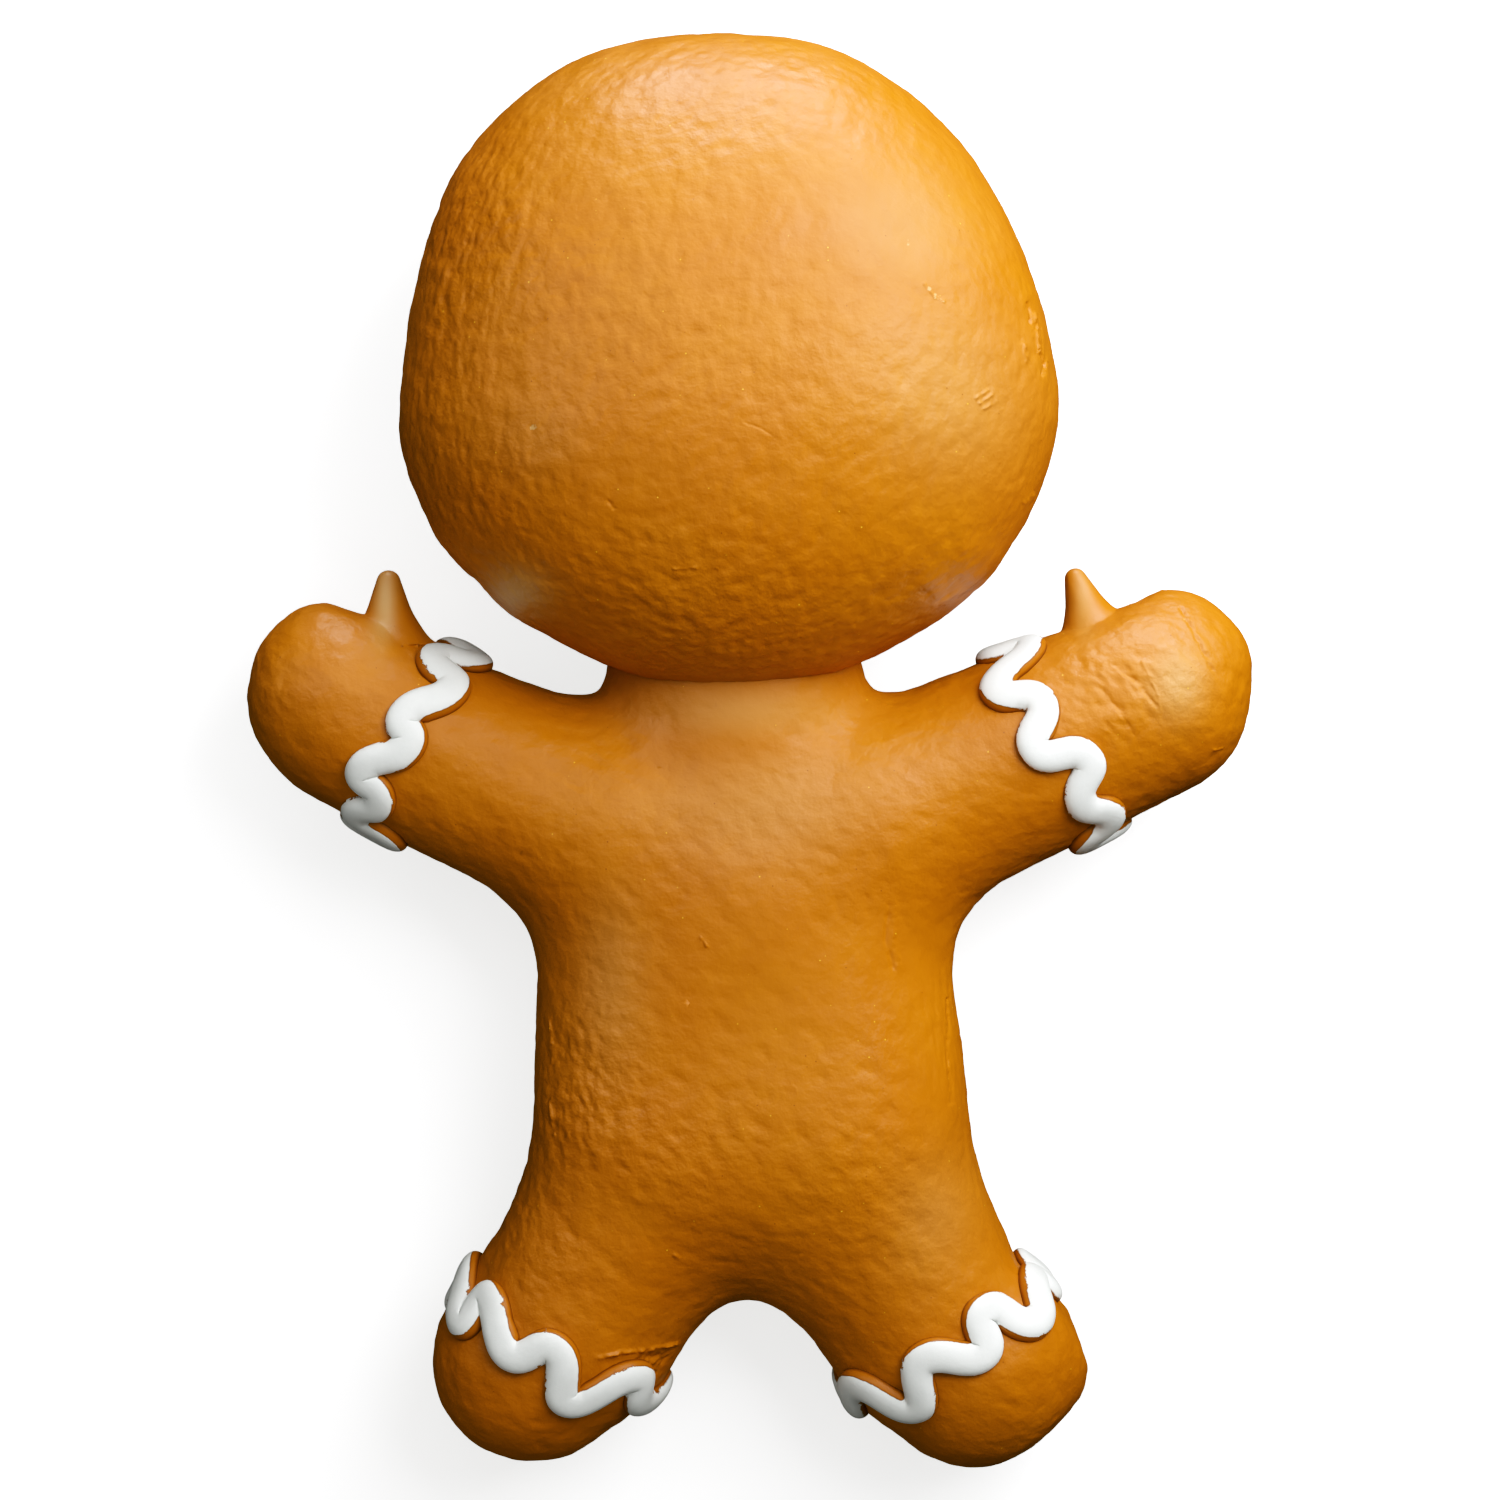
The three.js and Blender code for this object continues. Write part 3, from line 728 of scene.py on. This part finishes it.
# ---------------------------------------------------------------------------------------------
# Icing. Four raised beads of wavy piping, moulded on the wrists and ankles and painted white with
# a brush, which missed parts of the flank on one side or the other and left them brown.

PIPING_HALF_WIDTH = 0.0104
PIPING_HEIGHT = 0.0078
PIPING_SINK = 0.0025
SECTION_SQUARENESS = 2.4
SECTION_CORNERS = 32

# The white paint is this wide to each side, and a bare strip beyond it makes the bead wider.
PAINT_HALF_WIDTH = 0.0098
BARE_WIDTH = 0.0021
BARE_FADE = 0.12

# A ring is drawn on a roll of LAP_RADIUS about its limb. It turns back ALL_CRESTS times, by SWAY
# millimetres on the hidden side, and LOOP_REACH rounds its turns.
LAP_RADIUS = 0.064
ALL_CRESTS = 16
SWAY = 13
LOOP_REACH = 0.041
STEPS_PER_STROKE = 28
LINE_SMOOTHING = 8

# The rings' places are measured from MIDDLE, which is also the point under the camera.
MIDDLE = Vector((0.0008, 0.0059, 0))

# Two strokes that meet are pressed together, with OVERLAP of the room that each has. The width of
# a stroke also varies a little, with the maker's hand.
OVERLAP = 1.03
NEAR_STEPS = 4
ROOM_SMOOTHING = 3
HAND_WAVER = 0.06
HAND_GRAIN = 55
BLANK_RADIUS = 0.2

# Where each ring turns back: degrees round the limb from its back, and millimetres along it.
# bare lists the stretches where the flank was left brown: from which turn to which, on the
# trunk's side (1) or the other (-1), and how much of the flank.
PIPING = {
    "icing_wrist_left": {
        "centre": (-0.210, 0.003, 0.081), "direction": (-0.163, 0.077),
        "crests": ((-106, 8), (-78, -13), (-62, 9.5), (-43, -8.5), (-16, 10), (1.5, 1), (27, 20),
                   (41, 3), (66, 13), (80, -11)),
        "bare": ((0.8, 1.3, 1, 0.6), (1.8, 2.6, -1, 0.8), (2.8, 3.8, 1, 0.9), (4.1, 5.3, 1, 0.5),
                 (5.8, 6.4, 1, 0.6), (6.5, 7.4, 1, 0.6), (8.2, 9.1, 1, 1.0)),
    },
    "icing_wrist_right": {
        "centre": (0.194, 0.006, 0.081), "direction": (0.180, 0.088),
        "crests": ((-104, 11), (-81, -13), (-58.5, 5), (-36, -8), (-13.5, 6), (2.5, -20),
                   (25.5, -4), (46, -23.5), (70, 7), (86, -16)),
        "bare": ((0.7, 1.5, 1, 1.0), (1.8, 2.4, -1, 0.5), (3.7, 4.2, -1, 0.3), (5.2, 5.7, -1, 0.7),
                 (5.7, 6.4, -1, 0.4), (6.6, 7.1, 1, 0.8), (6.8, 7.4, -1, 0.5), (7.4, 8.1, -1, 0.7)),
    },
    "icing_ankle_left": {
        "centre": (-0.130, -0.374, 0.074), "direction": (-0.069, -0.119),
        "crests": ((-95, -18), (-58, 8), (-49, -14), (-16, 8), (6, -10), (29, 16.5), (52, -17),
                   (72, -5), (103, -15)),
        "bare": ((-0.2, 0.7, 1, 0.5), (1.05, 1.65, -1, 0.8), (2.0, 2.5, 1, 0.6), (2.5, 2.9, 1, 1.0),
                 (3.7, 4.8, 1, 0.8), (4.8, 5.3, 1, 0.8), (5.3, 6.3, 1, 0.8)),
    },
    "icing_ankle_right": {
        "centre": (0.120, -0.366, 0.074), "direction": (0.078, -0.122),
        "crests": ((-88, 8.5), (-60, -5), (-36, 24.5), (-14.5, -0.5), (14.5, 17), (29, -4.5),
                   (49, 20.5), (71, 3), (82, 13), (99, -5)),
        "bare": ((0.9, 1.85, 1, 1.0), (2.1, 2.6, -1, 0.45), (2.8, 3.9, 1, 0.6), (3.1, 3.6, -1, 0.4),
                 (4.1, 5.0, 1, 0.7), (5.0, 5.5, 1, 0.5), (5.3, 6.1, -1, 0.7), (6.2, 7.1, 1, 0.6)),
    },
}


def all_crests(crests):
    """The ring's turns, the ones under the limb too, unrolled: the way round and along it."""
    first, last = crests[0], crests[-1]
    count = ALL_CRESTS - len(crests)
    middle = sum(sway for _, sway in crests) / len(crests)
    hidden = []
    for index in range(count):
        turn = last[0] + (first[0] + 360 - last[0]) * (index + 1) / (count + 1)
        hidden.append((turn, middle + (-SWAY if index % 2 else SWAY)))
    return [
        Vector((math.radians(turn) * LAP_RADIUS, sway / 1000))
        for turn, sway in (*crests, *hidden)
    ]


def evened(values, rounds):
    """The values round a ring, each drawn towards its neighbours."""
    for _ in range(rounds):
        values = [
            (values[index - 1] + here * 2 + values[(index + 1) % len(values)]) / 4
            for index, here in enumerate(values)
        ]
    return values


def wavy_line(band):
    """The bead's middle line on the limb, with the skin's direction at each point."""
    along = Vector((*band["direction"], 0)).normalized()
    aside = Vector((-along.y, along.x, 0))
    crests = all_crests(band["crests"])
    lap = Vector((math.tau * LAP_RADIUS, 0))

    def crest(index):
        """Where the turn with this number is, counted on into the next lap."""
        laps, within = divmod(index, len(crests))
        return crests[within] + lap * laps

    def pull(index):
        """The way the line runs through a turn, LOOP_REACH long."""
        return (crest(index + 1) - crest(index - 1)).normalized() * LOOP_REACH

    spots = []
    ups = []
    for index in range(len(crests)):
        for step in range(STEPS_PER_STROKE):
            share = step / STEPS_PER_STROKE
            rest = 1 - share
            spot = crest(index) * rest * rest * (1 + 2 * share)
            spot += crest(index + 1) * share * share * (1 + 2 * rest)
            spot += pull(index) * rest * rest * share - pull(index + 1) * rest * share * share
            turn = spot.x / LAP_RADIUS
            out = aside * math.sin(turn) + Vector((0, 0, math.cos(turn)))
            start = Vector(band["centre"]) + MIDDLE + along * spot.y + out * LAP_RADIUS
            foot, up = bed.find_nearest(start)[:2]
            spots.append(foot)
            ups.append(up)
    return list(zip(evened(spots, LINE_SMOOTHING), evened(ups, LINE_SMOOTHING)))


def room_beside(line, index, side):
    """The radius of the largest circle that touches the line at a point and holds no other."""
    point = line[index][0]
    room = PIPING_HALF_WIDTH * 2
    for other, (spot, _) in enumerate(line):
        steps = abs(other - index)
        if min(steps, len(line) - steps) < NEAR_STEPS:
            continue
        apart = spot - point
        reach = apart.dot(side)
        if reach > 0:
            room = min(room, apart.length_squared / (2 * reach))
    return room


def bareness(spans, turn, side, turns):
    """How much of the flank is bare at a place on the ring, from 0 to 1."""
    most = 0.0
    for first, last, of_side, share in spans:
        for place in (turn, turn - turns):
            if side == of_side and first - BARE_FADE < place < last + BARE_FADE:
                inside = (min(place - first, last - place) + BARE_FADE) / (2 * BARE_FADE)
                most = max(most, share * min(1.0, inside))
    return most


def bead(band):
    """A ring of piping: a tube spun round once and laid along the wavy line."""
    line = wavy_line(band)
    count = len(line)
    bm = bmesh.new()
    ring = bmesh.ops.create_circle(bm, segments=SECTION_CORNERS, radius=BLANK_RADIUS)["verts"]
    bmesh.ops.rotate(bm, verts=ring, cent=(0, 0, 0), matrix=Matrix.Rotation(math.pi / 2, 3, "X"))
    bmesh.ops.translate(bm, verts=ring, vec=(1, 0, 0))
    bmesh.ops.spin(bm, geom=bm.verts[:] + bm.edges[:], axis=(0, 0, 1), cent=(0, 0, 0),
                   dvec=(0, 0, 0), angle=math.tau, steps=count, use_merge=True)
    rise = bm.verts.layers.float.new("rise")
    aside = bm.verts.layers.float.new("aside")
    turns = count / STEPS_PER_STROKE
    sides = []
    reaches = []
    rooms = []
    for index, (point, up) in enumerate(line):
        ahead = line[(index + 1) % count][0] - line[index - 1][0]
        side = up.cross(ahead).normalized()
        sides.append(side)
        hand = 1 + HAND_WAVER * noise.noise(point * HAND_GRAIN)
        turn = index / STEPS_PER_STROKE
        bares = [bareness(band["bare"], turn, sign, turns) for sign in (1, -1)]
        reaches.append([PIPING_HALF_WIDTH * hand + BARE_WIDTH * bare for bare in bares])
        rooms.append(Vector([room_beside(line, index, side * sign) for sign in (1, -1)]))
    rooms = evened(rooms, ROOM_SMOOTHING)
    for vert in bm.verts:
        index = round(math.atan2(vert.co.y, vert.co.x) / math.tau * count) % count
        angle = math.atan2(vert.co.z, math.hypot(vert.co.x, vert.co.y) - 1)
        point, up = line[index]
        across = math.copysign(abs(math.cos(angle)) ** (2 / SECTION_SQUARENESS), math.cos(angle))
        height = abs(math.sin(angle)) ** (2 / SECTION_SQUARENESS)
        which = 0 if across > 0 else 1
        apart = min(abs(across) * reaches[index][which], OVERLAP * rooms[index][which])
        foot = bed.find_nearest(point + sides[index] * math.copysign(apart, across))[0]
        vert[rise] = height if angle > 0 else 0.0
        vert[aside] = apart
        vert.co = foot + up * height * (PIPING_HEIGHT if angle > 0 else -PIPING_SINK)
        vert.co.z = max(vert.co.z, 0.0)
    return bm


WHITE = (0.87, 0.90, 0.885, 1)
THIN_WHITE = (0.66, 0.70, 0.705, 1)
BARE_BROWN = (0.38, 0.108, 0.004, 1)
# The dark brown of painted shade: a painted shadow along the white's edge and at the bead's foot.
EDGE_SHADE_BROWN = (0.11, 0.026, 0.001, 1)

# Lumps of noise in a metre, for the ragged edge, for where it is torn deep, and for brush streaks.
RAGGED_GRAIN = 200
TORN_GRAIN = 45
STREAK_GRAIN = 140

# How deep the edge is torn, how softly it ends, and how wide the painted shadow along the brown's
# edge is.
TORN_DEPTH = (0.0002, 0.0020)
EDGE_WIDTH = 0.0003
EDGE_SHADE_WIDTH = 0.0009

# Parts of the bead's height: where the white begins, and how far up its foot is darkened with
# painted shade where it meets the skin.
WHITE_FROM = (0.06, 0.10)
FOOT_SHADE_UP_TO = 0.3

STREAK_SHARE = 0.22
COAT_THICKNESS = 0.6
WHITE_ROUGHNESS = 0.4
WHITE_BUMP = 0.5


def icing_paint():
    """White paint brushed along the bead, with a ragged edge above the bare brown flank, and
    painted shade along that edge and at the bead's foot.
    """
    paint = Finish("icing_paint")
    rise = paint.add("ShaderNodeAttribute", attribute_name="rise").outputs["Fac"]
    aside = paint.add("ShaderNodeAttribute", attribute_name="aside").outputs["Fac"]
    ragged = paint.between(paint.grain(RAGGED_GRAIN, 4, 0.7), 0.3, 0.7, -1.0, 1.0)
    torn = paint.between(paint.grain(TORN_GRAIN, 1), 0.54, 0.68, *TORN_DEPTH)
    edge = paint.combine("MULTIPLY_ADD", ragged, torn, aside)
    cover = paint.between(edge, PAINT_HALF_WIDTH, PAINT_HALF_WIDTH + EDGE_WIDTH, 1.0, 0.0)
    cover = paint.combine("MULTIPLY", cover, paint.between(rise, *WHITE_FROM))
    # Painted shadow in a thin line beside the white's edge, and painted shade up the bead's foot.
    edge_shade = paint.between(edge, PAINT_HALF_WIDTH, PAINT_HALF_WIDTH + EDGE_SHADE_WIDTH, 1.0, 0.0)
    streaks = paint.grain(STREAK_GRAIN, 4, 0.7)
    white = paint.mix(paint.between(streaks, 0.4, 0.75, 0.0, STREAK_SHARE), WHITE, THIN_WHITE)
    edge_shade = paint.combine("MAXIMUM", edge_shade, paint.between(rise, 0.0, FOOT_SHADE_UP_TO, 1.0, 0.0))
    shaded_brown = paint.mix(edge_shade, BARE_BROWN, EDGE_SHADE_BROWN)
    paint.feed(paint.shader.inputs["Base Color"], paint.mix(cover, shaded_brown, white))
    paint.shader.inputs["Roughness"].default_value = WHITE_ROUGHNESS
    coat = paint.combine("MULTIPLY_ADD", cover, COAT_THICKNESS, streaks)
    bump = paint.add("ShaderNodeBump", ("Height", coat), ("Strength", WHITE_BUMP),
                     ("Distance", BUMP_HEIGHT))
    paint.feed(paint.shader.inputs["Normal"], bump.outputs["Normal"])
    return paint.material


icing = icing_paint()
for name, band in PIPING.items():
    piping = finished_piece(bead(band), name + "_bead", icing)
    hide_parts(name)

# ---------------------------------------------------------------------------------------------
# Floor. A plain pale sheet that the figure lies on. It glows a little, so that it stays white
# between the soft boxes, and sends no colour or gleam of its own onto the figure.

FLOOR_HALF_WIDTH = 30
FLOOR_DROP = 0.0003
FLOOR_WHITE = (0.88, 0.88, 0.88, 1)
FLOOR_ROUGHNESS = 0.9
FLOOR_GLOW = 1.2

sheet = bmesh.new()
bmesh.ops.create_grid(sheet, x_segments=1, y_segments=1, size=FLOOR_HALF_WIDTH)
bmesh.ops.translate(sheet, verts=sheet.verts, vec=(0, 0, -FLOOR_DROP))
floor_mesh = bpy.data.meshes.new("floor")
sheet.to_mesh(floor_mesh)
sheet.free()
floor_finish = Finish("floor_white")
floor_finish.feed(floor_finish.shader.inputs["Base Color"], FLOOR_WHITE)
floor_finish.feed(floor_finish.shader.inputs["Roughness"], FLOOR_ROUGHNESS)
floor_finish.feed(floor_finish.shader.inputs["Emission Color"], (1, 1, 1, 1))
floor_finish.feed(floor_finish.shader.inputs["Emission Strength"], FLOOR_GLOW)
floor_mesh.materials.append(floor_finish.material)
floor = bpy.data.objects.new("floor", floor_mesh)
bpy.context.scene.collection.objects.link(floor)
floor.visible_diffuse = False
floor.visible_glossy = False

# ---------------------------------------------------------------------------------------------
# Light and camera. Soft boxes stand to the right, the left and beyond the head, and the camera
# looks straight down on the figure's back.

# Each soft box: the way to it, how far off it stands, its width and height, its power, and whether
# it shows in the gloss.
SOFT_BOXES = {
    "box_sky": ((0.46, 0.38, 0.80), 2.0, 1.25, 1.25, 56, False),
    "box_key": ((0.62, 0.80, 0.66), 1.23, 0.8, 0.8, 10.5, True),
    "box_above": ((0.06, 0.98, 0.16), 2.0, 1.3, 0.55, 45, True),
    "box_right": ((0.84, 0.46, 0.17), 2.0, 0.6, 0.5, 19, False),
    "box_left": ((-0.62, 0.36, 0.70), 2.0, 0.9, 1.3, 7, True),
    "box_over": ((-0.12, 0.50, 0.87), 2.0, 0.9, 0.9, 6.5, True),
    "box_fill": ((0.04, -0.10, 1.0), 1.8, 1.2, 1.2, 5, False),
    "box_feet": ((-0.45, -0.88, 0.14), 2.0, 1.0, 0.5, 4.5, False),
}
LIT_MIDDLE = Vector((0, 0, 0.1))

for name, (way, distance, width, height, power, gleams) in SOFT_BOXES.items():
    light = bpy.data.lights.new(name, "AREA")
    light.shape = "RECTANGLE"
    light.size = width
    light.size_y = height
    light.energy = power
    lamp = bpy.data.objects.new(name, light)
    bpy.context.scene.collection.objects.link(lamp)
    lamp.location = Vector(way).normalized() * distance + LIT_MIDDLE
    lamp.rotation_euler = Vector(way).to_track_quat("Z", "Y").to_euler()
    lamp.visible_glossy = gleams

ROOM_LIGHT = 0.02
world = bpy.data.worlds.new("room")
world.use_nodes = True
world.node_tree.nodes["Background"].inputs["Color"].default_value = (1, 1, 1, 1)
world.node_tree.nodes["Background"].inputs["Strength"].default_value = ROOM_LIGHT
bpy.context.scene.world = world

# The frame is FRAME_WIDTH wide at the height of the figure's outline, OUTLINE_HEIGHT off the floor.
CAMERA_HEIGHT = 2.6
OUTLINE_HEIGHT = 0.086
FRAME_WIDTH = 0.940
SENSOR_WIDTH = 36
camera_data = bpy.data.cameras.new("camera")
camera_data.sensor_width = SENSOR_WIDTH
camera_data.lens = SENSOR_WIDTH * (CAMERA_HEIGHT - OUTLINE_HEIGHT) / FRAME_WIDTH
camera = bpy.data.objects.new("camera", camera_data)
camera.location = MIDDLE + Vector((0, 0, CAMERA_HEIGHT))
bpy.context.scene.collection.objects.link(camera)
bpy.context.scene.camera = camera

# The tone: deep shadows, with a little less blue, and a soft shoulder that only white reaches.
TONE_WHITE = 2.0
TONE = (
    (0.0393, 0.05), (0.0714, 0.10), (0.1324, 0.20), (0.23, 0.35),
    (0.347, 0.50), (0.55, 0.707), (0.75, 0.865),
)
BLUE_TOE = (
    (0.011, 0.0042), (0.03, 0.0225), (0.06, 0.054), (0.13, 0.122), (0.3, 0.288), (0.7, 0.69),
)
view = bpy.context.scene.view_settings
view.view_transform = "Standard"
view.use_curve_mapping = True
view.curve_mapping.white_level = (TONE_WHITE, TONE_WHITE, TONE_WHITE)
blue_curve, whole_curve = view.curve_mapping.curves[2:4]
for x, y in TONE:
    whole_curve.points.new(x, y)
for x, y in BLUE_TOE:
    blue_curve.points.new(x, y)
view.curve_mapping.update()
